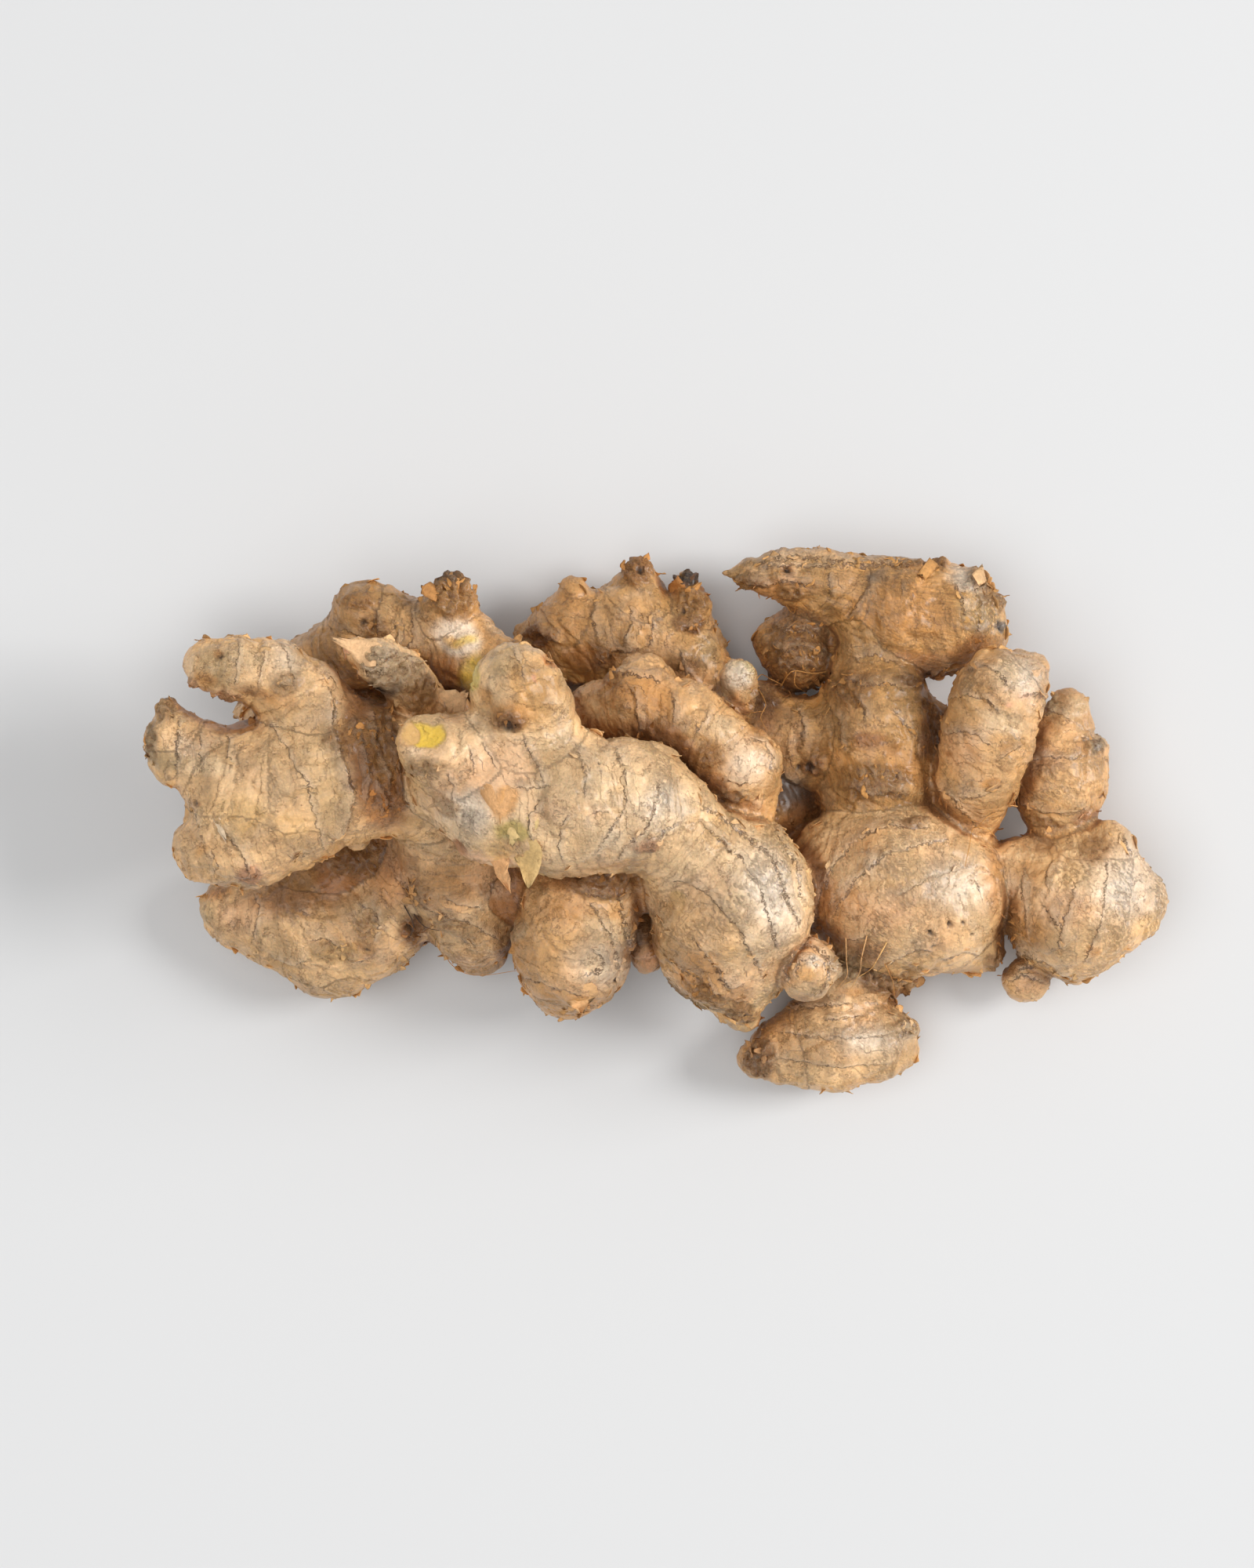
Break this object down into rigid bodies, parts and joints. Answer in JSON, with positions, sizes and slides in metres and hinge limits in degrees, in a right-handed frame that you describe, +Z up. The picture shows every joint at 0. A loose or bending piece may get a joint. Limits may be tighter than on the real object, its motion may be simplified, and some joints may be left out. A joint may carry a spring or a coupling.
{
  "type": "ginger root",
  "caption": "Fresh ginger rhizome lying flat: a broad clump of rounded, ringed lobes and short fingers, with one finger cut across.",
  "frame": {"origin": "centre of the bounding box in plan, on the surface the rhizome lies on", "axes": "+X along the greatest length, from the two left fingers to the rounded right end; +Y across it, towards the long pointed stub; +Z up"},
  "size_m": [0.24, 0.131, 0.0799],
  "materials": {
    "skin": "thin satin tan skin with ring scars, brown stains and flaky patches",
    "dry_scale": "matt, papery dried leaf scale",
    "rootlet": "matt, dry fibre"
  },
  "bodies": {
    "root": {"ginger_rhizome": "skin"}
  },
  "joints": []
}
